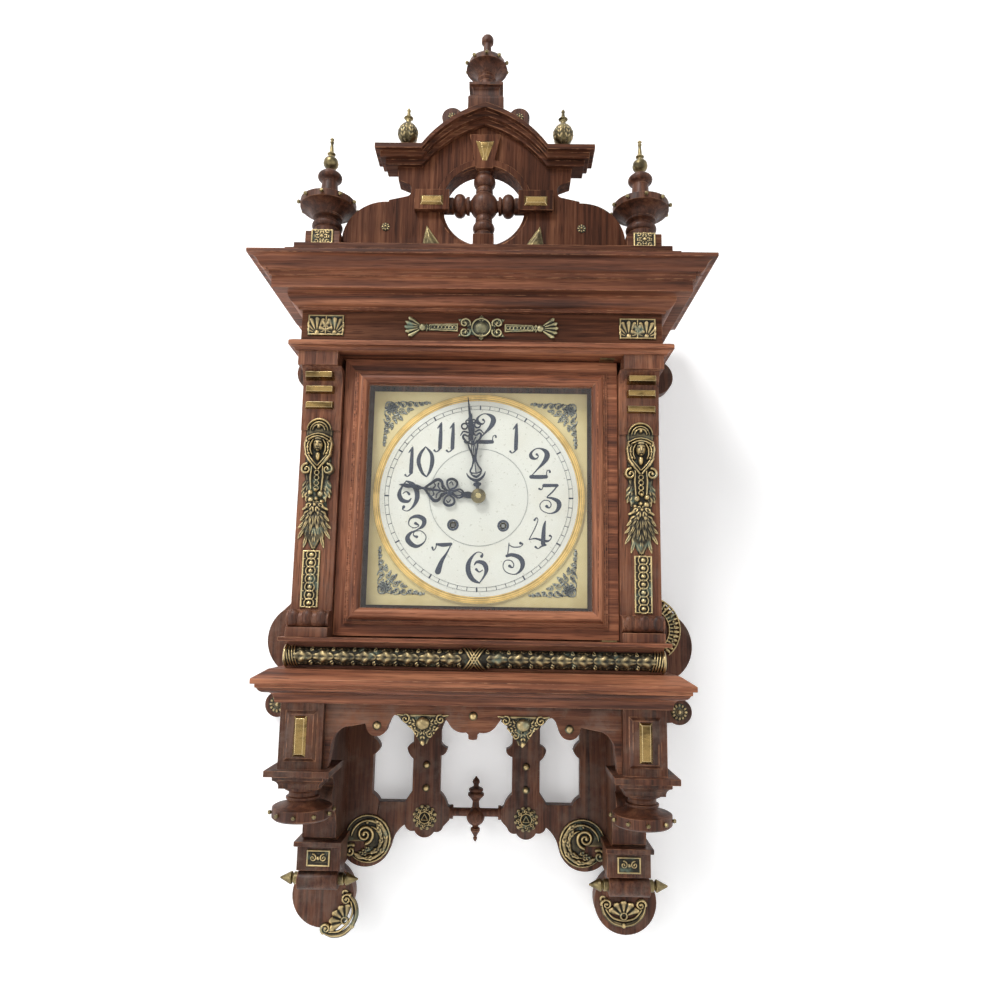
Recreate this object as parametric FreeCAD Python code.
import FreeCAD, Part
import math
import os

# Wall clock in carved walnut: glazed door between pilasters, moulded cornice with a pediment,
# open console base with turned pendants, spring movement with a short pendulum.
# Millimetres. The clock faces -Y, the wall is the plane Y = 0, +Z is up.
# Heights below are measured from the ledge under the door; the finished solids are lowered so that
# the origin lies at the eye of the hanger plate, on the wall.

Vec = FreeCAD.Vector
across = Vec(1, 0, 0)
inward = Vec(0, 1, 0)
upward = Vec(0, 0, 1)
origin = Vec(0, 0, 0)
half_turn = 180.0

# Clearances and overruns
cut_over = 3.0
shaft_gap = 0.05
mount_gap = 0.2

# Backboard
board_thick = 18.0
board_half = 184.0
board_top = 382.2
hang_height = 345.0
ear_top_radius = 21.5
ear_top_x = 208.0
ear_top_height = 317.0
rose_ear_x = 229.0
rose_ear_height = -78.0
rose_ear_radius = 14.5
tongue_in = 150.0
tongue_out = 181.0
lobe_x = 166.0
lobe_height = -280.5
lobe_radius = 34.0
shelf_bottom = -60.0

# Columns
column_in = 143.0
column_width = 41.0
shaft_front = 145.0
shaft_back = 123.0
ledge_top = 1.9
ledge_bottom = -1.9
ledge_half = 188.0
ledge_front = 170.0
case_top = 292.0
cap_height = 15.0
cap_front = 160.0
cap_shift = 3.5
stem_head = 211.0
stem_head_proud = 1.6
niche_radius = 14.0
niche_depth = 1.4
foot_front = 160.0
foot_bottom = 3.7
foot_band_top = 11.3
foot_roll_radius = 8.2
side_wall = 14.0
side_inset = 2.0

# Frieze and cornice
frieze_half = 187.0
frieze_front = 156.0
frieze_bottom = 303.0
frieze_top = 337.0
frieze_wall = 16.0
cornice_top = 382.2
cornice_reach = 46.5
cornice_board = 6.0
belt_reach = 10.0

# Base
rail_radius = 10.5
rail_height = -16.0
rail_front = 165.0
rail_half = 184.0
base_front = 152.0
base_wall = 14.0
base_bottom = -28.0
shelf_half = 184.0
shelf_front = 158.0
shelf_reach = 24.0
post_size = 41.5
post_bottom = -121.5
panel_proud = 3.0
panel_margin = 5.6
capital_half = 30.7
capital_bottom = -139.7
pendant_radius = 28.3
pendant_bottom = -169.7
rim_low = 19.0
rim_high = 28.0
apron_front = 150.0
apron_thick = 14.0

# Lattice and console brackets
lattice_thick = 14.0
bracket_in = 145.5
bracket_out = 181.5
bracket_foot = -264.0
scroll_radius = 9.4
spindle_height = -192.4
spindle_reach = 28.8
collar_radius = 7.6
collar_length = 3.5

# Crown
plinth_low_half = 203.5
plinth_low_height = 14.8
plinth_top_half = 195.5
plinth_top_height = 7.5
plinth_front = 177.0
plinth_back = 112.0
pediment_front = 158.0
pediment_thick = 18.0
pedestal_x = 167.5
pedestal_half = 18.0
pedestal_top = 420.2
finial_disc_radius = 29.5
finial_rim_low = 34.0
finial_rim_high = 41.3
finial_top = 498.0
spire_top = 538.8
gable_half = 116.3
gable_top = 566.0
gable_ends = 517.8
gable_reach = 16.0
ring_height = 456.3
ring_radius = 43.5
arch_radius = 50.6
ring_bevel = 4.5
cross_height = 460.5
cross_block_half = 11.0
cross_block_top = 424.5
crown_half = 19.1
crown_plate_top = 595.3
crown_rim_radius = 22.9
crown_rim_top = 19.7
crown_rim_low = 27.5
crown_rim_high = 36.4
crown_top = 665.0
urn_x = 84.0
urn_y = -155.0

# Door
door_half = 142.4
door_bottom = 3.3
door_top = 290.6
leaf_front = 140.0
leaf_back = 126.0
mould_front = 150.0
mould_half_wide = 132.0
mould_bottom = 15.6
mould_top = 275.6
sight_half = 115.4
sight_bottom = 31.2
sight_top = 261.4
glass_thick = 2.0
glass_back = 143.5
rebate = 5.0
pivot_x = 133.0
pivot_y = -147.0
pivot_radius = 1.5
pivot_length = 8.0
hinge_plate = 1.1

# Dial and hands
dial_height = 147.0
dial_board_front = 123.0
dial_board_thick = 12.0
dial_half = 112.5
dial_front = 128.0
dial_plate_thick = 2.0
disc_radius = 103.0
disc_thick = 1.6
ring_outer = 110.6
ring_proud = 2.0
wind_x = 25.9
wind_drop = 29.6
hour_hand_length = 83.0
minute_hand_length = 106.0
hand_thick = 0.7

# Movement
plate_half = 58.0
plate_bottom = 72.0
plate_thick = 3.0
front_plate_front = 104.0
plate_space = 40.0
seat_thick = 10.0
seat_back = 52.0
pillar_radius = 4.0
pillar_inset = 9.0
barrel_radius = 23.2
barrel_length = 27.0
great_teeth = 48
great_module = 1.0
great_thick = 2.6
winder_radius = 3.0
winder_pivot = 2.0
winder_square = 3.4
arbor_radius = 1.6
cannon_radius = 3.0
pipe_radius = 4.3
cannon_teeth = 12
minute_teeth = 36
pinion_teeth = 10
hour_teeth = 40
motion_module = 0.6
wheel_thick = 2.2
escape_teeth = 36
escape_radius = 11.0
anchor_height = 200.0
escape_height = anchor_height - 16.0
plate_top = anchor_height + 14.0
bob_radius = 24.0
bob_thick = 9.0
bob_height = 62.0
rod_radius = 1.2
gong_x = 84.0
gong_height = 108.0
gong_radius = 46.0
gong_wire = 2.6
gong_y = 35.3
hammer_x = 50.0
hammer_height = anchor_height - 10.0

# Brass
bead_radius = 2.3
bead_flat_share = 0.75
mount_thick = 3.0
bar_proud = 2.6
stud_radius = 4.2

# Hanger
hanger_half = 18.0
hanger_low = 14.0
hanger_high = 16.0
hanger_thick = 2.0
hanger_eye = 4.5
nail_pocket_radius = 12.0
nail_pocket_depth = 13.0

# Outlines seen from the front: x, height and, for an arc, its rise over its chord
ear_path = [
    (board_half, 92.0),
    (228.0, 29.0, -0.05),
    (222.5, -42.0, 0.28),
    (222.5, -70.0),
    (229.0, -89.5),
    (board_half, -92.5),
]
lattice_path = [
    (0, shelf_bottom),
    (tongue_in, shelf_bottom),
    (tongue_in, -236.0),
    (147.0, -236.0),
    (93.0, -228.5, 0.34),
    (78.7, -205.7, -0.1),
    (67.7, -212.0, 0.22),
    (45.7, -212.7, 0.3),
    (35.8, -207.2, 0.22),
    (spindle_reach, -199.7),
    (spindle_reach, -186.9),
    (31.4, -185.4),
    (40.4, -171.3, 0.08),
    (40.4, -131.0),
    (33.2, -123.0, 0.2),
    (40.4, -117.4, -0.1),
    (40.4, -104.0),
    (0, -76.0, -0.2),
]
window_path = [
    (79.4, -181.6),
    (107.8, -181.6),
    (116.4, -172.8, 0.08),
    (116.4, -131.6),
    (109.2, -123.0, 0.1),
    (116.4, -113.0, 0.1),
    (116.4, -100.0),
    (71.4, -100.0, -0.4),
    (71.4, -118.0),
    (78.6, -123.0, 0.1),
    (71.4, -135.0, 0.1),
    (71.4, -170.0),
]
apron_path = [
    (0, shelf_bottom),
    (142.8, shelf_bottom),
    (142.8, post_bottom),
    (138.6, post_bottom),
    (135.3, -95.3),
    (123.4, -83.0, -0.1),
    (104.0, -79.5),
    (103.0, -82.0),
    (82.5, -82.0, 0.45),
    (81.0, -78.5),
    (75.7, -71.0, -0.1),
    (70.0, -72.0),
    (46.0, -95.0),
    (27.0, -73.0),
    (21.6, -80.6),
    (6.5, -86.0, 0.14),
    (4.4, -88.0),
    (4.2, -92.2),
    (0, -93.0),
]
gable_inner = 66.5
gable_rise = 48.2
gable_bulge = -0.083
gable_depth = 17.8
gable_low = gable_ends - gable_depth
plinth_top = cornice_top + plinth_low_height + plinth_top_height
pediment_path = [
    (0, plinth_top),
    (149.5, plinth_top),
    (149.5, 419.0),
    (101.5, 460.0, -0.2),
    (101.5, 462.0),
    (82.0, 466.5),
    (78.0, 474.0, 0.2),
    (82.0, 481.0, 0.2),
    (92.0, 485.0),
    (93.4, gable_low),
    (gable_inner, gable_low),
    (0, gable_low + gable_rise, gable_bulge),
]
cartouche_path = [
    (0, 306.0),
    (12.0, 308.5),
    (23.0, 314.0, 0.1),
    (52.0, 315.5),
    (64.0, 312.5),
    (80.0, 319.5, -0.2),
    (64.0, 326.0, -0.2),
    (52.0, 323.0),
    (23.0, 325.0),
    (12.0, 331.0, 0.1),
    (0, 333.8),
]
herm_path = [
    (0, 86.5),
    (3.5, 88.5),
    (9.0, 99.0),
    (13.5, 106.5),
    (14.5, 119.0),
    (12.3, 134.0),
    (12.7, 149.0),
    (15.5, 164.5),
    (16.5, 174.6),
    (14.5, 197.0),
    (15.0, 212.5),
    (13.0, 222.5),
    (8.0, 227.0),
    (0, 228.0),
]
triangle_path = [
    (22.0, -69.7),
    (45.5, -100.0, 0.06),
    (75.0, -69.7, 0.06),
]
gusset_path = [
    (59.5, 432.5),
    (44.0, 406.4, 0.1),
    (62.0, 406.4),
]
key_jewel_path = [
    (-2.5, 505.0),
    (2.5, 505.0),
    (10.0, 528.0),
    (-10.0, 528.0),
]
key_table_path = [
    (-1.0, 510.0),
    (1.0, 510.0),
    (4.5, 525.0),
    (-4.5, 525.0),
]
keystone_path = [
    (0, 496.6),
    (9.0, 496.6),
    (16.5, 535.8),
    (0, 535.8),
]
crescent_path = [
    (219.0, 56.0),
    (238.5, 10.0, 0.12),
    (231.0, -14.0, 0.3),
    (224.0, -10.0, 0.3),
    (230.0, 8.0, -0.2),
    (215.0, 50.0, -0.12),
]
shell_path = [
    (137.8, -277.7),
    (143.5, -283.2, -0.3),
    (153.0, -302.5, -0.1),
    (165.0, -307.0, -0.15),
    (177.0, -302.5, -0.15),
    (187.0, -291.5, -0.1),
    (188.0, -285.0, -0.4),
    (183.0, -287.5),
    (173.0, -288.5, 0.3),
    (165.0, -281.5, -0.2),
    (157.0, -288.5, -0.2),
    (145.2, -276.5, 0.25),
]

# Outlines seen from the side: distance from the wall, height, arc
pilaster_path = [
    (shaft_back, ledge_top),
    (foot_front, ledge_top),
    (foot_front, foot_band_top),
    (foot_front - foot_roll_radius, foot_band_top),
    (foot_front - foot_roll_radius, foot_band_top + 2 * foot_roll_radius, -0.5),
    (shaft_front, foot_band_top + 2 * foot_roll_radius),
    (shaft_front, stem_head),
    (shaft_front + stem_head_proud, stem_head),
    (148.0, 250.0),
    (157.0, case_top - cap_height, 0.12),
    (shaft_back, case_top - cap_height),
]
post_back = shelf_front - post_size
capital_back = shelf_front - post_size / 2 - capital_half
bracket_path = [
    (board_thick, shelf_bottom),
    (post_back, shelf_bottom),
    (post_back, post_bottom),
    (capital_back, post_bottom),
    (capital_back, -141.0),
    (84.0, -152.0, -0.2),
    (92.0, -174.0, 0.25),
    (62.0, -196.0, -0.15),
    (62.0, -209.0),
    (56.0, -212.0),
    (56.0, -243.0),
    (50.0, -245.0),
    (50.0, bracket_foot),
    (board_thick, bracket_foot),
]

# Mouldings: height and reach, or half width, arc
crown_root = 554.6
cornice_profile = [
    (frieze_top, 3.5),
    (339.6, 3.5),
    (349.0, 12.7, 0.15),
    (350.9, 12.7),
    (350.9, 26.0),
    (362.8, 26.0),
    (362.8, 28.5),
    (366.8, 28.5),
    (372.5, 37.0, 0.18),
    (378.2, 45.5, -0.18),
    (378.2, cornice_reach),
    (cornice_top, cornice_reach),
]
belt_profile = [
    (case_top, 4.0),
    (296.6, belt_reach, -0.2),
    (301.4, belt_reach),
    (frieze_bottom, 7.0),
]
shelf_profile = [
    (shelf_bottom, 5.0),
    (-55.0, 6.0),
    (-50.0, 12.0, -0.18),
    (-45.2, 19.0, 0.18),
    (-45.2, 20.5),
    (-41.5, 20.5),
    (-41.5, shelf_reach),
    (-36.6, shelf_reach),
    (base_bottom, 11.0),
]
door_profile = [
    (0, leaf_front),
    (0, 146.0),
    (5.0, mould_front, 0.12),
    (11.5, 146.0, 0.16),
    (11.5, 144.6),
    (13.5, 144.6),
    (13.5, 142.6),
    (16.0, 142.6),
    (16.0, leaf_front),
]
crown_block_profile = [
    (crown_root, crown_half),
    (574.0, crown_half),
    (580.3, 15.5, 0.2),
    (580.3, 14.0),
    (589.5, 14.0),
    (591.9, 17.6, -0.15),
    (591.9, 18.4),
    (crown_plate_top, 18.4),
]
capital_profile = [
    (capital_bottom, 19.3),
    (-131.6, 24.2, -0.2),
    (-127.3, 24.2),
    (-127.3, capital_half),
    (post_bottom, capital_half),
]

# Turned profiles: height along the axis, radius, arc
pendant_profile = [
    (0, 17.5),
    (3.0, 17.5),
    (5.5, 13.5, -0.2),
    (8.5, 13.5),
    (9.5, 16.0),
    (11.5, 16.0),
    (12.5, 14.0),
    (18.0, 26.5, -0.1),
    (rim_low, pendant_radius),
    (rim_high, pendant_radius),
    (capital_bottom - pendant_bottom, 26.0),
]
side_finial_profile = [
    (0, 13.5),
    (9.3, 13.5),
    (18.3, 12.5, 0.35),
    (19.3, 11.0),
    (21.0, 11.0),
    (22.5, 15.6),
    (24.6, 15.6),
    (26.0, 17.0),
    (33.5, 28.0, -0.12),
    (finial_rim_low, finial_disc_radius),
    (finial_rim_high, finial_disc_radius),
    (44.0, 14.0),
    (46.0, 9.8),
    (65.5, 8.4),
    (68.5, 11.8, -0.1),
    (74.5, 11.8, 0.2),
    (finial_top - pedestal_top, 8.0),
]
spire_profile = [
    (0, 3.0),
    (3.0, 2.6),
    (5.0, 4.5),
    (12.2, 7.8, 0.2),
    (16.5, 5.0, 0.15),
    (18.0, 2.2),
    (19.5, 2.2),
    (21.5, 4.6),
    (24.0, 2.4),
    (33.5, 1.5),
    (36.0, 2.2),
    (37.8, 1.4),
    (39.0, 2.4),
    (spire_top - finial_top, 1.0),
]
crown_profile = [
    (0, 11.0),
    (3.0, 11.0),
    (5.0, 8.0),
    (12.0, 8.0),
    (15.0, 10.5),
    (18.3, 10.5),
    (18.6, 9.8),
    (crown_rim_low, crown_rim_radius, -0.15),
    (crown_rim_high, crown_rim_top),
    (38.0, 8.0),
    (39.5, 5.0),
    (60.0, 4.1),
    (62.0, 6.6),
    (67.0, 6.6),
    (crown_top - crown_plate_top, 5.0),
]
urn_profile = [
    (0, 6.5),
    (3.5, 6.5),
    (5.5, 3.2),
    (10.5, 3.2),
    (13.0, 6.0),
    (20.0, 9.9, 0.12),
    (29.0, 9.4, 0.08),
    (34.5, 5.0, 0.1),
    (37.0, 2.8),
    (40.0, 2.8),
    (42.0, 5.2),
    (44.0, 2.4),
    (49.5, 1.6),
    (51.0, 2.2),
    (53.7, 1.0),
]
cone_profile = [
    (0, 6.2),
    (5.0, 6.2),
    (6.5, 4.0),
    (8.0, 6.4),
    (9.2, 6.4),
    (20.5, 0.8),
]
spindle_profile = [
    (-31.0, 0.9),
    (-27.5, 2.6),
    (-26.0, 1.6),
    (-24.0, 2.4),
    (-19.5, 5.3),
    (-17.0, 5.3),
    (-15.0, 2.8),
    (-13.5, 4.5),
    (4.0, 5.5, 0.3),
    (6.0, 4.0),
    (12.0, 3.6),
    (15.0, 6.0),
    (18.0, 9.1),
    (20.5, 9.1),
    (22.0, 6.5),
    (23.5, 8.2),
    (25.5, 8.0),
    (28.0, 3.0),
    (30.0, 3.0),
    (32.5, 4.3),
    (35.0, 3.6),
    (37.0, 1.6),
    (38.8, 0.9),
]
cross_profile = [
    (-36.0, 8.0),
    (-31.5, 8.0),
    (-20.5, 8.0, 0.33),
    (-19.0, 9.0),
    (-15.5, 9.0),
    (-12.8, 8.0),
    (12.8, 8.0, 0.28),
    (14.5, 9.2),
    (18.0, 9.2),
    (20.0, 7.5),
    (34.5, 7.5, 0.3),
    (36.5, 8.8),
    (ring_radius, 8.8),
]
cross_arm_profile = [
    (5.0, 6.0),
    (15.5, 6.0),
    (15.5, 9.7),
    (18.0, 9.7),
    (19.8, 7.5),
    (32.2, 7.5, 0.4),
    (33.0, 8.8),
    (ring_radius, 8.8),
]

# Pieces of the base and the brackets
apron_half = 142.8
shelf_room_top = -41.5
panel_drop = 7.5
fillet_reach = 7.0
fillet_front = 68.0
fillet_heights = (-217.0, -212.0)
plaque_reach = 5.0
plaque_front = 59.0
plaque_heights = (-243.0, -217.0)
scroll_span = (143.5, 186.0)
scroll_front = 50.0
spindle_y = 11.0
spindle_bar_radius = 4.6
plinth_setback = 4.0
pedestal_front = 168.0
gable_courses = [(0.3, 106.0), (0.65, 111.0), (1.0, gable_half)]
keystone_proud = 5.0
side_block_proud = 7.0
side_block_span = (36.6, 73.2)
side_block_heights = (447.6, 470.5)
crown_front = 168.1
shoulder_x = 36.5
shoulder_height = 562.1
shoulder_radius = 11.2
shoulder_front = 155.0
shoulder_thick = 12.0

# Brass bars, mounts and studs
bead_count = 10
stud_sides = 8
rosette_sides = 12
medal_sides = 16
bar_half = 5.2
bar_slope = 2.4
jewel_half = 6.2
console_bar_span = (150.0, 181.7)
console_bars = [(267.8, 158.0), (253.8, 153.2), (237.6, 151.0)]
jewel_heights = (-109.4, -72.0)
gable_bar_span = (42.7, 67.0)
gable_bar_heights = (452.5, 463.5)
herm_x = 164.5
herm_thick = 6.0
herm_head_height = 212.0
herm_head_radius = 7.5
herm_head_proud = 11.0
herm_body_half = 5.0
herm_body_heights = (138.0, 199.0)
herm_body_proud = 9.0
strip_span = (157.0, 175.0)
strip_heights = (29.8, 87.5)
strip_proud = 2.2
shell_span = (142.2, 180.5)
shell_heights = (309.3, 332.8)
square_half = 11.5
square_heights = (405.2, 421.0)
plaque_half = 12.5
plaque_inset = 4.5
bracket_mount_heights = (-185.0, -158.0)
bracket_mount_half = 11.0
bracket_mount_front = 96.5
small_medals = [(56.5, -197.2, 13.0)]
large_medals = [(119.0, -220.7, 26.0)]
medal_gap = 0.4
ear_medal_radius = 9.6
gable_rosette = (103.5, 430.6, 4.6)
shoulder_rosette_radius = 4.6
board_studs = [(56.0, -141.0), (56.0, -166.0)]
apron_studs = [(92.5, -81.0), (0, -70.4)]
stud_proud = 3.6
nail_radius = 1.2
nail_head_radius = 2.6
nail_head_thick = 1.0
nail_spot = (141.3, -277.7)
shell_thick = 2.4

# Details of the door, the motion work and the movement
hinge_span = (124.0, 139.0)
hinge_over = 3.0
bead_depth = 3.0
dial_hole_gap = 0.6
motion_room_span = (-40.0, 40.0)
motion_room_heights = (100.0, 190.0)
hour_hand_front = 132.9
minute_hand_front = 136.0
motion_back = 104.5
layer_gap = 0.5
arbor_front = 139.0
arbor_back = 57.0
nut_radius = 2.8
centre_wheel_radius = 17.0
centre_wheel_front = 66.0
cock_half = 5.0
cock_gap = 4.0
cock_back = 40.0
hook_front = 49.0
hook_ring_radius = 3.3
hook_overlap = 0.6
barrel_front = 96.0
winder_front = 129.0
winder_shoulder = 110.0
escape_root = 8.6
escape_front = 72.0
anchor_path = [
    (0, anchor_height + 4.0),
    (4.5, anchor_height + 1.5, 0.1),
    (13.6, anchor_height - 7.5),
    (13.0, anchor_height - 10.6),
    (11.0, anchor_height - 9.8),
    (10.4, anchor_height - 7.2),
    (3.2, anchor_height - 3.0),
    (0, anchor_height - 3.6),
]
crutch_front = 53.5
crutch_back = 51.5
crutch_half = 3.4
fork_height = anchor_height - 28.0
fork_gap = 0.4
pendulum_front = 47.0
pendulum_back = 44.0
bob_profile = [
    (0, 9.0),
    (3.0, bob_radius),
    (6.0, bob_radius),
    (bob_thick, 9.0),
]
hammer_span = (80.0, 88.0)
hammer_heights = (158.0, 168.0)
hammer_front = 39.0
hammer_back = 30.0
hammer_arm_thick = 3.0
hammer_path = [
    (hammer_x - 2.4, hammer_height + 2.6),
    (hammer_x - 2.4, hammer_height - 2.6),
    (80.5, 160.0),
    (84.0, 164.0),
    (hammer_x + 2.4, hammer_height + 2.6),
]
gong_half_turns = 5
gong_step = 5.0
gong_boss_radius = 8.0
gong_boss_front = 38.0

# Hands: distance from the centre, half width; then the pierced windows
minute_widths = [(6.0, 1.5), (15.0, 1.6), (21.0, 6.2), (28.0, 6.6), (36.0, 2.6),
                 (41.0, 1.4), (48.0, 4.6), (54.0, 4.4), (62.0, 1.7), (minute_hand_length, 0.4)]
minute_windows = [(23.0, 4.2), (27.5, 4.4), (33.0, 1.2)]
hour_widths = [(6.0, 1.6), (14.0, 2.0), (20.0, 8.5), (27.0, 9.5), (34.0, 6.5), (38.0, 7.5),
               (45.0, 6.0), (50.0, 2.0), (62.0, 2.6), (hour_hand_length, 0.4)]
hour_windows = [(23.0, 5.0), (28.0, 6.4), (34.0, 2.0)]
hand_hub = 8.0
minute_rest_turn = -7.1
hour_rest_turn = -82.1

column_out = column_in + column_width
column_mid = column_in + column_width / 2
pieces = {}


def keep(name, *shapes):
    """Store the solids of one piece, several as one group."""
    solids = [solid for shape in shapes for solid in shape.Solids]
    pieces[name] = solids[0] if len(solids) == 1 else Part.makeCompound(solids)


def mirrored(shape):
    """The same shape on the other side of the centre line."""
    return shape.mirror(origin, across)


def block(x_low, x_high, y_low, y_high, z_low, z_high):
    """A square-edged block between two corners."""
    return Part.makeBox(x_high - x_low, y_high - y_low, z_high - z_low, Vec(x_low, y_low, z_low))


def rod(radius, length, base, direction):
    """A round bar from its base along a direction."""
    return Part.makeCylinder(radius, length, base, direction)


def outline(path, place):
    """A closed face from points (a, b) or (a, b, bulge): bulge is an arc's rise over its chord."""
    edges = []
    here = path[0]
    for step in list(path[1:]) + [path[0][:2]]:
        start = place(here[0], here[1])
        end = place(step[0], step[1])
        if start.distanceToPoint(end) > 0:
            if len(step) == 3 and step[2] != 0:
                run = step[0] - here[0]
                rise = step[1] - here[1]
                middle = place(here[0] + run / 2 - rise * step[2], here[1] + rise / 2 + run * step[2])
                edges.append(Part.Arc(start, middle, end).toShape())
            else:
                edges.append(Part.makeLine(start, end))
        here = step
    return Part.Face(Part.Wire(edges))


def front_slab(path, front, thick):
    """A board with a front outline (x, z); front is its distance from the wall."""
    return outline(path, lambda a, b: Vec(a, -front, b)).extrude(inward * thick)


def polygon(path, front):
    """A closed ring of straight edges through points (x, z)."""
    points = [Vec(x, -front, z) for x, z in path]
    return Part.makePolygon(points + [points[0]])


def side_slab(path, x_low, width):
    """A board with a side outline (distance from the wall, z)."""
    return outline(path, lambda a, b: Vec(x_low, -a, b)).extrude(across * width)


def turned(profile, base, axis, side):
    """A turned piece: profile (height, radius[, bulge]) along its axis from the base."""
    path = [(profile[0][0], 0)] + list(profile) + [(profile[-1][0], 0)]
    face = outline(path, lambda a, b: base + axis * a + side * b)
    return face.revolve(base, axis, 2 * half_turn)


def moulded(half, front, back, profile):
    """A block whose front and two sides carry one moulding, mitred: profile (z, reach[, bulge])."""
    deep = 2 * (half + front)
    solid_path = [(profile[0][0], -deep)] + list(profile) + [(profile[-1][0], -deep)]
    face = outline(solid_path, lambda a, b: Vec(-2 * deep, -front - b, a))
    front_part = face.extrude(across * (4 * deep))
    side = outline(solid_path, lambda a, b: Vec(half + b, -2 * deep, a))
    right_part = side.extrude(inward * (2 * deep - back))
    return front_part.common(right_part).common(mirrored(right_part))


def square_turned(profile, centre):
    """A square stack of mouldings about an upright axis: profile (z, half width[, bulge])."""
    path = [(profile[0][0], 0)] + list(profile) + [(profile[-1][0], 0)]
    deep = 2 * max(step[1] for step in profile)
    quarter = outline(path, lambda a, b: centre + Vec(b, -deep, a)).extrude(inward * (2 * deep))
    pair = quarter.fuse(quarter.mirror(centre, across))
    crossed = pair.copy()
    crossed.rotate(centre, upward, half_turn / 2)
    return pair.common(crossed).removeSplitter()


def facet_ball(centre, radius, axis):
    """A small cast bead with six sides."""
    sides = 6
    waist_share = 0.62
    rise_share = 0.75
    start = axis.cross(upward) if axis.cross(upward).Length > 0 else axis.cross(across)
    start.normalize()
    rings = []
    for reach, lift in ((waist_share, -rise_share), (1, 0), (waist_share, rise_share)):
        turn = FreeCAD.Rotation(axis, 2 * half_turn / sides)
        spoke = Vec(start) * (radius * reach)
        points = []
        for _ in range(sides):
            points.append(centre + axis * (radius * lift) + spoke)
            spoke = turn.multVec(spoke)
        rings.append(Part.makePolygon(points + [points[0]]))
    return Part.makeLoft(rings, True, True)


def toothed(teeth, module, centre, front, thick, bore, phase=0):
    """A flat wheel about a Y axis with straight-sided teeth; phase is in teeth."""
    below_share = 1.1
    above_share = 0.85
    root = module * (teeth / 2 - below_share)
    tip = module * (teeth / 2 + above_share)
    root_share = 0.34
    tip_share = 0.13
    points = []
    for tooth in range(teeth):
        for share, radius in ((-root_share, root), (-tip_share, tip), (tip_share, tip), (root_share, root)):
            angle = 2 * math.pi * (tooth + phase + share) / teeth
            points.append(Vec(centre.x + radius * math.sin(angle), -front, centre.z + radius * math.cos(angle)))
    face = Part.Face(Part.makePolygon(points + [points[0]]))
    wheel = face.extrude(inward * thick)
    hole = rod(bore, thick + 2 * cut_over, Vec(centre.x, -front - cut_over, centre.z), inward)
    return wheel.cut(hole)


def cross_rod(radius, x_low, x_high, y, z):
    """A round bar that runs from left to right."""
    return rod(radius, x_high - x_low, Vec(x_low, y, z), across)


def hipped(x_low, x_high, z_low, z_high, back, proud, slope):
    """A bar or plate with sloping sides, standing proud of a face at a distance from the wall."""
    front = back + proud
    return Part.makeWedge(
        x_low + slope, -front, z_low + slope, z_low, x_low,
        x_high - slope, -back, z_high - slope, z_high, x_high,
    )


def boss(x, z, back, radius, proud, sides):
    """A small faceted rosette or stud on a face at a distance from the wall."""
    crown_share = 0.55
    rim_share = 0.34
    rings = []
    for reach, lift in ((radius, 0), (radius, proud * rim_share), (radius * crown_share, proud)):
        points = []
        for corner in range(sides):
            angle = 2 * math.pi * corner / sides
            points.append(Vec(x + reach * math.cos(angle), -back - lift, z + reach * math.sin(angle)))
        rings.append(Part.makePolygon(points + [points[0]]))
    return Part.makeLoft(rings, True, True)


def both(shape):
    """A shape and its mirror image, as a list."""
    return [shape, mirrored(shape)]


def halves(path, front, thick):
    """A board from the right half of its outline."""
    right = front_slab(path, front, thick)
    return right.fuse(mirrored(right)).removeSplitter()


def bead_ring(centre, radius, count, size):
    """Cast beads spaced round an upright turning."""
    beads = []
    for number in range(count):
        angle = 2 * math.pi * (number + 0.5) / count
        spoke = Vec(math.cos(angle), math.sin(angle), 0)
        beads.append(facet_ball(centre + spoke * (radius + size * bead_flat_share), size, spoke))
    return beads


# Backboard, hanger and lattice
board = block(-board_half, board_half, -board_thick, 0, shelf_bottom, board_top)
rose = rod(rose_ear_radius, board_thick, Vec(rose_ear_x, -board_thick, rose_ear_height), inward)
bump = rod(ear_top_radius, board_thick, Vec(ear_top_x, -board_thick, ear_top_height), inward)
bump_root = block(board_half - cut_over, ear_top_x, -board_thick, 0,
                  ear_top_height - ear_top_radius, ear_top_height + ear_top_radius)
tongue = block(tongue_in, tongue_out, -board_thick, 0, lobe_height, shelf_bottom)
lobe = rod(lobe_radius, board_thick, Vec(lobe_x, -board_thick, lobe_height), inward)
board_side = front_slab(ear_path, board_thick, board_thick).fuse([rose, bump, bump_root, tongue, lobe])
board = board.fuse([board_side, mirrored(board_side)]).removeSplitter()
recess = block(-hanger_half - mount_gap, hanger_half + mount_gap, -hanger_thick, cut_over,
               hang_height - hanger_low - mount_gap, hang_height + hanger_high + mount_gap)
nail_room = rod(nail_pocket_radius, nail_pocket_depth + cut_over, Vec(0, cut_over, hang_height), -inward)
lattice_half = front_slab(lattice_path, board_thick, lattice_thick)
lattice_half = lattice_half.cut(front_slab(window_path, board_thick + cut_over, lattice_thick + 2 * cut_over))
lattice_half = lattice_half.cut(rod(lobe_radius, board_thick, Vec(lobe_x, -board_thick, lobe_height), inward))
keep("backboard", board.cut(recess).cut(nail_room))
hanger = block(-hanger_half, hanger_half, -hanger_thick, 0, hang_height - hanger_low, hang_height + hanger_high)
keep("hanger_plate", hanger.cut(rod(hanger_eye, hanger_thick, Vec(0, -hanger_thick, hang_height), inward)))
keep("lattice_panel", lattice_half.fuse(mirrored(lattice_half)).removeSplitter())

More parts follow.
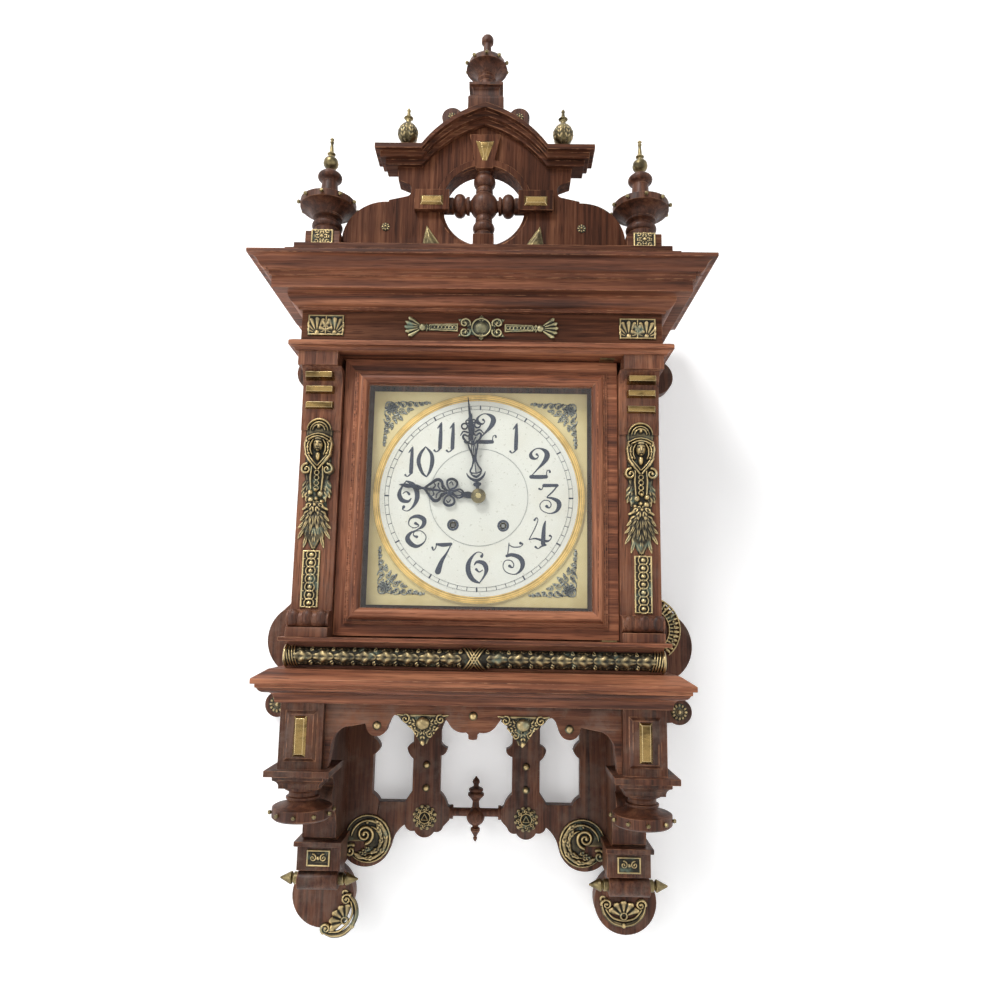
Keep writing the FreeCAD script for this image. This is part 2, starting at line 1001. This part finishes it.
# Case sides, base frame and top rail; the door pivots turn in the base frame and the rail
side_panel = block(column_out - side_inset - side_wall, column_out - side_inset,
                   -shaft_back, -board_thick, ledge_top, case_top)
keep("side_panel_right", side_panel)
keep("side_panel_left", mirrored(side_panel))
ledge = block(-ledge_half, ledge_half, -ledge_front, -board_thick, ledge_bottom, ledge_top)
base_box = block(-rail_half, rail_half, -base_front, -board_thick, base_bottom, ledge_bottom)
base_room = block(base_wall - rail_half, rail_half - base_wall, base_wall - base_front, -board_thick,
                  base_bottom, ledge_bottom)
pivot_hole = rod(pivot_radius + shaft_gap, pivot_length, Vec(pivot_x, pivot_y, ledge_top - pivot_length), upward)
keep("base_frame", ledge.fuse(base_box.cut(base_room)).removeSplitter().cut(pivot_hole))
belt = moulded(frieze_half, frieze_front, board_thick, belt_profile)
belt_hole = rod(pivot_radius + shaft_gap, pivot_length, Vec(pivot_x, pivot_y, case_top), upward)
keep("frieze_moulding", belt.cut(belt_hole))
frieze_box = block(-frieze_half, frieze_half, -frieze_front, -board_thick, frieze_bottom, frieze_top)
frieze_room = block(frieze_wall - frieze_half, frieze_half - frieze_wall, frieze_wall - frieze_front, -board_thick,
                    frieze_bottom, cornice_top - cornice_board)
keep("frieze", frieze_box.cut(frieze_room))
cornice = moulded(frieze_half, frieze_front, board_thick, cornice_profile)
keep("main_cornice", cornice.cut(frieze_room))

# Pilasters with moulded foot, niche, console and cap
pilaster = side_slab(pilaster_path, column_in, column_width)
cap = block(column_in + cap_shift, column_out + cap_shift, -cap_front, -shaft_back, case_top - cap_height, case_top)
niche_front = Vec(column_mid, -shaft_front - stem_head_proud, stem_head)
niche = block(column_mid - niche_radius, column_mid + niche_radius, niche_front.y, niche_front.y + niche_depth,
              stem_head, stem_head + niche_depth)
niche = niche.fuse(rod(niche_radius, niche_depth, niche_front + upward * niche_depth, inward))
niche = niche.common(block(column_in, column_out, -foot_front, 0, stem_head, case_top))
pilaster = pilaster.fuse(cap).removeSplitter().cut(niche)
keep("pilaster_right", pilaster)
keep("pilaster_left", mirrored(pilaster))

# Shelf under the base, apron, corner posts with pendants and the console brackets
shelf = moulded(shelf_half, shelf_front, board_thick, shelf_profile)
shelf_room = block(-apron_half, apron_half, apron_thick - apron_front, -board_thick - base_wall,
                   shelf_bottom, shelf_room_top)
keep("base_shelf", shelf.cut(shelf_room))
keep("apron", halves(apron_path, apron_front, apron_thick))
post_x = apron_half + post_size / 2
post_y = post_size / 2 - shelf_front
post = block(apron_half, apron_half + post_size, -shelf_front, -post_back, post_bottom, shelf_bottom)
panel = hipped(apron_half + panel_margin, apron_half + post_size - panel_margin,
               post_bottom + panel_drop, shelf_bottom - panel_drop, shelf_front, panel_proud, panel_proud)
post = post.fuse([panel, square_turned(capital_profile, Vec(post_x, post_y, 0))])
keep("corner_post_right", post)
keep("corner_post_left", mirrored(post))
pendant = turned(pendant_profile, Vec(post_x, post_y, capital_bottom), -upward, across)
keep("pendant_right", pendant)
keep("pendant_left", mirrored(pendant))
bracket = side_slab(bracket_path, bracket_in, bracket_out - bracket_in)
fillet = block(bracket_in - fillet_reach, bracket_out + fillet_reach, -fillet_front, -board_thick, *fillet_heights)
plaque_block = block(bracket_in - plaque_reach, bracket_out + plaque_reach, -plaque_front, -board_thick,
                     *plaque_heights)
scroll_z = bracket_foot + scroll_radius
scroll = cross_rod(scroll_radius, *scroll_span, -scroll_front, scroll_z)
scroll_root = block(*scroll_span, -scroll_front, -board_thick, bracket_foot, bracket_foot + 2 * scroll_radius)
bracket = bracket.fuse([fillet, plaque_block, scroll, scroll_root]).removeSplitter()
for x, z, radius in large_medals:
    notch_front = -board_thick - mount_thick - medal_gap
    bracket = bracket.cut(rod(radius + medal_gap, -notch_front - board_thick, Vec(x, notch_front, z), inward))
keep("bracket_right", bracket)
keep("bracket_left", mirrored(bracket))
spindle_centre = Vec(0, -spindle_y, spindle_height)
spindle = turned(spindle_profile, spindle_centre, upward, across)
spindle_bar = cross_rod(spindle_bar_radius, -spindle_reach, spindle_reach, -spindle_y, spindle_height)
collar = cross_rod(collar_radius, spindle_reach - collar_length, spindle_reach, -spindle_y, spindle_height)
keep("lattice_spindle", spindle.fuse([spindle_bar] + both(collar)))

# Crown: plinth with pedestals, pierced pediment, gable moulding and finials
plinth_mid = cornice_top + plinth_low_height
plinth = block(-plinth_low_half, plinth_low_half, -plinth_front, -plinth_back, cornice_top, plinth_mid)
plinth_step = block(-plinth_top_half, plinth_top_half, plinth_setback - plinth_front, -plinth_back,
                    plinth_mid, plinth_top)
pedestal = block(pedestal_x - pedestal_half, pedestal_x + pedestal_half,
                 -pedestal_front, pedestal_half * 2 - pedestal_front, plinth_top, pedestal_top)
pedestal_y = pedestal_half - pedestal_front
keep("crown_plinth", plinth.fuse([plinth_step, pedestal, mirrored(pedestal)]).removeSplitter())
ring_centre = Vec(0, -pediment_front, ring_height)
ring_hole = rod(ring_radius, pediment_thick, ring_centre, inward)
bevel = Part.makeCone(ring_radius + ring_bevel, ring_radius, ring_bevel, ring_centre, inward)
bevel = bevel.cut(block(-arch_radius, arch_radius, -pediment_front, -plinth_back, side_block_heights[1],
                        ring_height + arch_radius))
cross_block = block(-cross_block_half, cross_block_half, -pediment_front, pediment_thick - pediment_front,
                    plinth_top, cross_block_top)
pediment = halves(pediment_path, pediment_front, pediment_thick)
keep("pediment_board", pediment.cut(ring_hole.fuse(bevel).cut(cross_block)))


def gable_course(low, high, half, front):
    """One course of the gable moulding: level ends and a curved rake up to the peak."""
    path = [
        (0, low + gable_rise),
        (gable_inner, low, -gable_bulge),
        (half, low),
        (half, high),
        (gable_inner, high),
        (0, high + gable_rise, gable_bulge),
    ]
    return halves(path, front, front - pediment_front + pediment_thick)


course = gable_depth / len(gable_courses)
courses = []
for level, (reach_share, half) in enumerate(gable_courses):
    low = gable_low + level * course
    courses.append(gable_course(low, low + course, half, pediment_front + gable_reach * reach_share))
gable = courses[0].fuse(courses[1:])
keep("pediment_cornice", gable)
keystone = halves(keystone_path, pediment_front + keystone_proud, keystone_proud)
arch = rod(arch_radius, keystone_proud, ring_centre - inward * keystone_proud, inward)
arch = arch.cut(rod(ring_radius, keystone_proud, ring_centre - inward * keystone_proud, inward))
arch_room = block(-arch_radius, arch_radius, -pediment_front - keystone_proud, -pediment_front,
                  ring_height - arch_radius, side_block_heights[1])
side_block = block(*side_block_span, -pediment_front - side_block_proud, -pediment_front, *side_block_heights)
keep("pediment_blocks", keystone.fuse(arch.cut(arch_room)).removeSplitter(), *both(side_block))
cross_centre = Vec(0, -pediment_front + pediment_thick / 2, cross_height)
cross_arm = turned(cross_arm_profile, cross_centre, across, upward)
cross = turned(cross_profile, cross_centre, upward, across).fuse(both(cross_arm))
cross_room = rod(ring_radius - shaft_gap, 2 * pediment_thick, ring_centre - inward * (pediment_thick / 2), inward)
keep("pediment_cross", cross.common(cross_room))
crown_block = square_turned(crown_block_profile, Vec(0, crown_half - crown_front, 0))
shoulder = rod(shoulder_radius, shoulder_thick, Vec(shoulder_x, -shoulder_front, shoulder_height), inward)
shoulder_root = block(0, shoulder_x, -shoulder_front, shoulder_thick - shoulder_front, crown_root, shoulder_height)
shoulders = both(shoulder) + both(shoulder_root)
crown_wood = crown_block.fuse(shoulders).removeSplitter()
for part in courses:
    crown_wood = crown_wood.cut(part)
crown_centre = Vec(0, crown_half - crown_front, crown_plate_top)
crown_turning = turned(crown_profile, crown_centre, upward, across)
keep("crown_finial", crown_wood.fuse(crown_turning))
finial_base = Vec(pedestal_x, pedestal_y, pedestal_top)
side_finial = turned(side_finial_profile, finial_base, upward, across)
keep("side_finials", *both(side_finial))

# Brass finials, beads, bars, mounts and studs
spire = turned(spire_profile, Vec(pedestal_x, pedestal_y, finial_top), upward, across)
urn = turned(urn_profile, Vec(urn_x, urn_y, gable_ends), upward, across)
cone_y = -scroll_front + scroll_radius / 2
cone_out = turned(cone_profile, Vec(scroll_span[1], cone_y, scroll_z), across, upward)
cone_in = turned(cone_profile, Vec(scroll_span[0], cone_y, scroll_z), -across, upward)
keep("brass_finials", *(both(spire) + both(urn) + both(cone_out) + both(cone_in)))
disc_mid = (finial_rim_low + finial_rim_high) / 2
beads = bead_ring(finial_base + upward * disc_mid, finial_disc_radius, bead_count, bead_radius)
pendant_mid = (rim_low + rim_high) / 2
beads += bead_ring(Vec(post_x, post_y, capital_bottom - pendant_mid), pendant_radius, bead_count, bead_radius)
beads += [mirrored(bead) for bead in beads]
crown_mid = (crown_rim_low + crown_rim_high) / 2
crown_mid_radius = (crown_rim_radius + crown_rim_top) / 2
crown_beads = bead_ring(crown_centre + upward * crown_mid, crown_mid_radius, bead_count, bead_radius)
beads += [bead.cut(crown_turning) for bead in crown_beads]
keep("brass_beads", *beads)
bars = []
for height, front in console_bars:
    bar = hipped(*console_bar_span, height - bar_half, height + bar_half, shaft_front, front - shaft_front, bar_slope)
    bars.append(bar.cut(pilaster))
bars.append(hipped(post_x - jewel_half, post_x + jewel_half, *jewel_heights, shelf_front + panel_proud,
                   bar_proud, bar_slope))
bars.append(hipped(*gable_bar_span, *gable_bar_heights, pediment_front + side_block_proud, bar_proud, bar_slope))
bars += [mirrored(bar) for bar in bars]
key_front = pediment_front + keystone_proud
bars.append(Part.makeLoft([polygon(key_jewel_path, key_front), polygon(key_table_path, key_front + bar_proud)],
                          True, True))
keep("faceted_bars", *bars)
rail = cross_rod(rail_radius, -rail_half, rail_half, rail_radius - rail_front, rail_height)
rail_room = block(-rail_half, rail_half, -rail_front, -base_front, base_bottom, ledge_bottom)
keep("garland_rail", rail.common(rail_room))
herm = halves(herm_path, shaft_front + herm_thick, herm_thick)
herm = herm.fuse(boss(0, herm_head_height, shaft_front, herm_head_radius, herm_head_proud, stud_sides))
herm = herm.fuse(hipped(-herm_body_half, herm_body_half, *herm_body_heights, shaft_front, herm_body_proud, bar_slope))
herm = herm.translated(across * herm_x).cut(pilaster)
strip = hipped(*strip_span, *strip_heights, shaft_front, strip_proud, strip_proud)
keep("pilaster_mounts", *(both(herm) + both(strip)))
frieze_shell = hipped(*shell_span, *shell_heights, frieze_front, mount_thick, mount_thick)
cartouche = halves(cartouche_path, frieze_front + mount_thick, mount_thick)
square_mount = hipped(pedestal_x - square_half, pedestal_x + square_half, *square_heights, pedestal_front,
                      mount_thick, mount_thick)
plaque = hipped(post_x - plaque_half, post_x + plaque_half, plaque_heights[0] + plaque_inset,
                plaque_heights[1] - plaque_inset, plaque_front, mount_thick, mount_thick)
mask = hipped(post_x - bracket_mount_half, post_x + bracket_mount_half, *bracket_mount_heights,
              post_back / 2, bracket_mount_front - post_back / 2, bar_slope).cut(bracket)
triangle = front_slab(triangle_path, apron_front + mount_thick, mount_thick)
gusset = front_slab(gusset_path, pediment_front + mount_thick, mount_thick)
crescent = front_slab(crescent_path, board_thick + mount_thick, mount_thick)
shell_mount = front_slab(shell_path, board_thick + mount_gap + shell_thick, shell_thick)
nail_from = Vec(nail_spot[0], -board_thick, nail_spot[1])
nail_shank = rod(nail_radius, 2 * mount_gap + shell_thick, nail_from, -inward)
nail_head = rod(nail_head_radius, nail_head_thick, nail_from - inward * (2 * mount_gap + shell_thick), -inward)
nail = nail_shank.fuse(nail_head)
shell_mount = shell_mount.cut(rod(nail_radius + shaft_gap, board_thick, nail_from, -inward))
case_parts = []
for piece in (frieze_shell, square_mount, plaque, mask, triangle, gusset, nail):
    case_parts += both(piece)
keep("case_mounts", cartouche, crescent, shell_mount, *case_parts)
medals = [boss(x, z, board_thick, radius, mount_thick, medal_sides) for x, z, radius in small_medals + large_medals]
medals.append(boss(rose_ear_x, rose_ear_height, board_thick, ear_medal_radius, mount_thick, rosette_sides))
medals.append(boss(gable_rosette[0], gable_rosette[1], pediment_front, gable_rosette[2], mount_thick, stud_sides))
medals.append(boss(shoulder_x, shoulder_height, shoulder_front, shoulder_rosette_radius, mount_thick, stud_sides))
medals += [boss(x, z, board_thick, stud_radius, stud_proud, stud_sides) for x, z in board_studs]
medals.append(boss(*apron_studs[0], apron_front, stud_radius, stud_proud, stud_sides))
medals += [mirrored(medal) for medal in medals]
medals.append(boss(*apron_studs[1], apron_front, stud_radius, stud_proud, stud_sides))
keep("rosettes_and_studs", *medals)
loose = mirrored(shell_mount)
eye_spot = Vec(-nail_spot[0], 0, nail_spot[1])
lean = loose.Solids[0].CenterOfMass - eye_spot
hang_turn = math.degrees(math.atan2(lean.x, -lean.z))
loose.rotate(eye_spot, inward, hang_turn)
keep("loose_shell_mount", loose)

# Door: leaf, mitred moulding, glass with its bead, and plates for the top and bottom pivots
leaf = block(-door_half, door_half, -leaf_front, -leaf_back, door_bottom, door_top)
mould_wide = door_profile[-1][0]
moulding = []
for low in (sight_bottom, sight_top):
    way = 1 if low == sight_top else -1
    run = outline(door_profile, lambda a, b: Vec(-door_half, -b, low + way * a)).extrude(across * (2 * door_half))
    wedge = [(-sight_half, low), (sight_half, low), (sight_half + mould_wide, low + way * mould_wide),
             (-sight_half - mould_wide, low + way * mould_wide)]
    moulding.append(run.common(front_slab(wedge, mould_front, mould_front - leaf_front)))
stile = outline(door_profile, lambda a, b: Vec(sight_half + a, -b, door_bottom)).extrude(upward * (door_top - door_bottom))
wedge = [(sight_half, sight_bottom), (sight_half, sight_top), (sight_half + mould_wide, sight_top + mould_wide),
         (sight_half + mould_wide, sight_bottom - mould_wide)]
stile = stile.common(front_slab(wedge, mould_front, mould_front - leaf_front))
frame = leaf.fuse(moulding + both(stile)).removeSplitter()
sight = block(-sight_half, sight_half, -mould_front, -leaf_back, sight_bottom, sight_top)
glass_front = glass_back + glass_thick
glass_room = block(-sight_half - rebate, sight_half + rebate, -glass_front, -leaf_back,
                   sight_bottom - rebate, sight_top + rebate)
keep("door_frame", frame.cut(sight).cut(glass_room))
pane_half = sight_half + rebate - mount_gap
pane = block(-pane_half, pane_half, -glass_front, -glass_back, sight_bottom - rebate + mount_gap,
             sight_top + rebate - mount_gap)
keep("door_glass", pane)
bead_outer = block(-sight_half - rebate, sight_half + rebate, -glass_back, bead_depth - glass_back,
                   sight_bottom - rebate, sight_top + rebate)
bead_inner = block(-sight_half, sight_half, -glass_back, bead_depth - glass_back, sight_bottom, sight_top)
keep("glass_bead", bead_outer.cut(bead_inner))
low_plate = block(*hinge_span, pivot_y - hinge_over, hinge_over - leaf_front, door_bottom - hinge_plate, door_bottom)
low_pin = rod(pivot_radius, pivot_length - cut_over, Vec(pivot_x, pivot_y, door_bottom - hinge_plate), -upward)
top_plate = block(*hinge_span, pivot_y - hinge_over, hinge_over - leaf_front, door_top, door_top + hinge_plate)
top_pin = rod(pivot_radius, pivot_length - cut_over, Vec(pivot_x, pivot_y, door_top + hinge_plate), upward)
keep("door_hinges", low_plate.fuse(low_pin), top_plate.fuse(top_pin))

# Dial: board, folded brass plate with its ring, silvered disc
dial_centre = Vec(0, 0, dial_height)
board_reach = column_out - side_inset - side_wall
dial_board = block(-board_reach, board_reach, -dial_board_front, dial_board_thick - dial_board_front,
                   ledge_top, case_top)
motion_room = block(*motion_room_span, -dial_board_front, dial_board_thick - dial_board_front, *motion_room_heights)
keep("dial_board", dial_board.cut(motion_room))
tray = block(-dial_half, dial_half, -dial_front, -dial_board_front, dial_height - dial_half, dial_height + dial_half)
inner = dial_half - dial_plate_thick
tray_room = block(-inner, inner, dial_plate_thick - dial_front, -dial_board_front,
                  dial_height - inner, dial_height + inner)
ring_front = dial_front + ring_proud
ring = rod(ring_outer, ring_proud, dial_centre - inward * ring_front, inward)
ring = ring.cut(rod(disc_radius + mount_gap, ring_proud, dial_centre - inward * ring_front, inward))
wind_height = dial_height - wind_drop
dial_holes = [rod(pipe_radius + dial_hole_gap, ring_front, dial_centre - inward * ring_front, inward)]
for side in (-1, 1):
    dial_holes.append(rod(winder_radius + dial_hole_gap, ring_front, Vec(side * wind_x, -ring_front, wind_height), inward))
plate = tray.cut(tray_room).fuse(ring)
disc = rod(disc_radius, disc_thick, dial_centre - inward * (dial_front + disc_thick), inward)
for hole in dial_holes:
    plate = plate.cut(hole)
    disc = disc.cut(hole)
keep("dial_plate", plate)
keep("dial_disc", disc)


def hand(widths, windows, bore, front, turn):
    """A pierced clock hand; widths and windows are (distance from the centre, half width)."""
    right = [(half, reach) for reach, half in widths]
    left = [(-half, reach) for reach, half in reversed(widths)]
    blade = front_slab(right + left, front, hand_thick)
    right = [(half, reach) for reach, half in windows]
    left = [(-half, reach) for reach, half in reversed(windows)]
    blade = blade.cut(front_slab(right + left, front, hand_thick))
    hub = rod(hand_hub, hand_thick, Vec(0, -front, 0), inward)
    solid = blade.fuse(hub).cut(rod(bore, hand_thick, Vec(0, -front, 0), inward))
    solid.rotate(origin, inward, turn)
    return solid.translated(upward * dial_height)


def axle(radius, front, back, x, z):
    """A round arbor between two distances from the wall."""
    return rod(radius, front - back, Vec(x, -front, z), inward)


def pipe(outer, bore, front, back, x, z):
    """A tube between two distances from the wall."""
    return axle(outer, front, back, x, z).cut(axle(bore, front, back, x, z))


# Centre arbor with cannon pinion, minute wheel, hour wheel and the hands
keep("hour_hand", hand(hour_widths, hour_windows, pipe_radius, hour_hand_front, hour_rest_turn))
keep("minute_hand", hand(minute_widths, minute_windows, arbor_radius, minute_hand_front, minute_rest_turn))
cannon_front = motion_back + wheel_thick
cannon = toothed(cannon_teeth, motion_module, dial_centre, cannon_front, wheel_thick, arbor_radius)
sleeve = pipe(cannon_radius, arbor_radius, minute_hand_front - hand_thick, motion_back, 0, dial_height)
arbor = axle(arbor_radius, arbor_front, arbor_back, 0, dial_height)
centre_wheel = axle(centre_wheel_radius, centre_wheel_front, centre_wheel_front - wheel_thick, 0, dial_height)
keep("centre_arbor", arbor.fuse([cannon, sleeve, centre_wheel.cut(arbor)]))
keep("hand_nut", pipe(nut_radius, arbor_radius, arbor_front, minute_hand_front, 0, dial_height))
offset = motion_module * (cannon_teeth + minute_teeth) / 2
hour_module = 2 * offset / (pinion_teeth + hour_teeth)
idle_centre = Vec(offset, 0, dial_height)
hour_front = cannon_front + layer_gap + wheel_thick
minute_wheel = toothed(minute_teeth, motion_module, idle_centre, cannon_front, wheel_thick,
                       pivot_radius + shaft_gap, 0.5)
pinion = toothed(pinion_teeth, hour_module, idle_centre, hour_front, hour_front - cannon_front,
                 pivot_radius + shaft_gap)
keep("minute_wheel", minute_wheel.fuse(pinion))
hour_wheel = toothed(hour_teeth, hour_module, dial_centre, hour_front, wheel_thick, cannon_radius + shaft_gap)
hour_pipe = pipe(pipe_radius, cannon_radius + shaft_gap, hour_hand_front, hour_front - wheel_thick, 0, dial_height)
keep("hour_wheel", hour_wheel.fuse(hour_pipe))

# Movement: plates and pillars on the seat board, barrels on winding arbors, escape wheel and anchor
seat = block(-board_reach, board_reach, dial_board_thick - dial_board_front, -seat_back,
             plate_bottom - seat_thick, plate_bottom)
keep("seat_board", seat)
front_plate_back = front_plate_front - plate_thick
back_plate_front = front_plate_back - plate_space
back_plate_back = back_plate_front - plate_thick
pillar_x = plate_half - pillar_inset
pillar_heights = (plate_bottom + pillar_inset, plate_top - pillar_inset)
bearings = [(0, dial_height, arbor_radius), (0, escape_height, arbor_radius), (0, anchor_height, arbor_radius),
            (hammer_x, hammer_height, arbor_radius)]
bearings += [(side * wind_x, wind_height, winder_pivot) for side in (-1, 1)]


def movement_plate(front):
    """A brass movement plate with its bearing holes."""
    plate = block(-plate_half, plate_half, -front, plate_thick - front, plate_bottom, plate_top)
    for x, z, radius in bearings:
        plate = plate.cut(axle(radius + shaft_gap, front, front - plate_thick, x, z))
    return plate


front_plate = movement_plate(front_plate_front)
for side in (-1, 1):
    front_plate = front_plate.cut(axle(winder_radius + shaft_gap, front_plate_front, front_plate_back,
                                       side * wind_x, wind_height))
stud = axle(pivot_radius, hour_front + layer_gap, front_plate_front, offset, dial_height)
keep("front_plate", front_plate.fuse(stud))
pillars = []
for x in (-pillar_x, pillar_x):
    for z in pillar_heights:
        pillars.append(axle(pillar_radius, front_plate_back, back_plate_front, x, z))
cock_top = anchor_height + cock_gap + plate_thick
cock = block(-cock_half, cock_half, -back_plate_back, -cock_back, anchor_height + cock_gap, cock_top)
cock_ear = block(-cock_half, cock_half, -cock_back - plate_thick, -cock_back, anchor_height - cock_half, cock_top)
hook = axle(pivot_radius, hook_front, cock_back + plate_thick, 0, anchor_height)
back_plate = movement_plate(back_plate_front)
keep("back_plate", back_plate.fuse(pillars + [cock, cock_ear, hook]).removeSplitter())
for name, side in (("going", 1), ("strike", -1)):
    x = side * wind_x
    barrel = pipe(barrel_radius, winder_radius + shaft_gap, barrel_front, barrel_front - barrel_length, x, wind_height)
    great = toothed(great_teeth, great_module, Vec(x, 0, wind_height), barrel_front + great_thick, great_thick,
                    winder_radius + shaft_gap)
    keep(name + "_barrel", barrel.fuse(great))
    square = block(x - winder_square / 2, x + winder_square / 2, -winder_front, -winder_shoulder,
                   wind_height - winder_square / 2, wind_height + winder_square / 2)
    shank = axle(winder_radius, winder_shoulder, back_plate_front + layer_gap, x, wind_height)
    pivot = axle(winder_pivot, back_plate_front + layer_gap, back_plate_back, x, wind_height)
    keep(name + "_arbor", square.fuse([shank, pivot]))

teeth_points = []
for tooth in range(2 * escape_teeth):
    reach = escape_radius if tooth % 2 == 0 else escape_root
    angle = math.pi * (tooth + (1 if tooth % 2 else 0) / 2) / escape_teeth
    teeth_points.append((reach * math.sin(angle), escape_height + reach * math.cos(angle)))
escape = front_slab(teeth_points, escape_front, wheel_thick)
keep("escape_wheel", escape.fuse(axle(arbor_radius, front_plate_front, back_plate_back, 0, escape_height)))
anchor = halves(anchor_path, escape_front, wheel_thick)
anchor = anchor.fuse(axle(arbor_radius, front_plate_front, crutch_back, 0, anchor_height))
crutch = block(-crutch_half, crutch_half, -crutch_front, -crutch_back, fork_height, anchor_height + crutch_half)
prong = block(rod_radius + fork_gap, crutch_half, -crutch_front, -pendulum_back, fork_height, fork_height + crutch_half)
keep("pallet_anchor", anchor.fuse([crutch] + both(prong)))
pendulum_ring = pipe(hook_ring_radius, pivot_radius + shaft_gap, pendulum_front, pendulum_back, 0, anchor_height)
pendulum_mid = (pendulum_front + pendulum_back) / 2
rod_length = anchor_height - hook_ring_radius + hook_overlap - bob_height
pendulum_rod = rod(rod_radius, rod_length, Vec(0, -pendulum_mid, bob_height), upward)
bob = turned(bob_profile, Vec(0, -pendulum_mid - bob_thick / 2, bob_height), inward, upward)
keep("pendulum", bob.fuse([pendulum_rod, pendulum_ring]))
hammer_head = block(*hammer_span, -hammer_front, -hammer_back, *hammer_heights)
hammer_arm = front_slab(hammer_path, hammer_front, hammer_arm_thick)
hammer_arbor = axle(arbor_radius, front_plate_front, hammer_front - hammer_arm_thick, hammer_x, hammer_height)
keep("hammer", hammer_head.fuse([hammer_arm, hammer_arbor]))
coils = []
centre_x = gong_x
coil_radius = gong_radius
for turn in range(gong_half_turns):
    way = 1 if turn % 2 == 0 else -1
    inner = coil_radius - gong_wire
    path = [
        (centre_x + way * coil_radius, gong_height),
        (centre_x - way * coil_radius, gong_height, -0.5),
        (centre_x - way * inner, gong_height),
        (centre_x + way * inner, gong_height, 0.5),
    ]
    coils.append(front_slab(path, gong_y, gong_wire))
    coil_end = centre_x - way * coil_radius
    centre_x -= way * gong_step / 2
    coil_radius -= gong_step / 2
gong_bar = block(coil_end, gong_x, -gong_y, gong_wire - gong_y, gong_height, gong_height + gong_wire)
gong_boss = rod(gong_boss_radius, gong_boss_front - board_thick, Vec(gong_x, -gong_boss_front, gong_height), inward)
keep("gong", coils[0].fuse(coils[1:] + [gong_bar, gong_boss]).removeSplitter())

# The heights so far start at the ledge: lower everything to the eye of the hanger plate, then save
os.makedirs("parts", exist_ok=True)
for name, shape in pieces.items():
    lowered = shape.translated(-upward * hang_height)
    lowered.exportStep("parts/" + name + ".step")
    volume = sum(solid.Volume for solid in lowered.Solids)
    print(name, len(lowered.Solids), lowered.isValid(), round(volume))
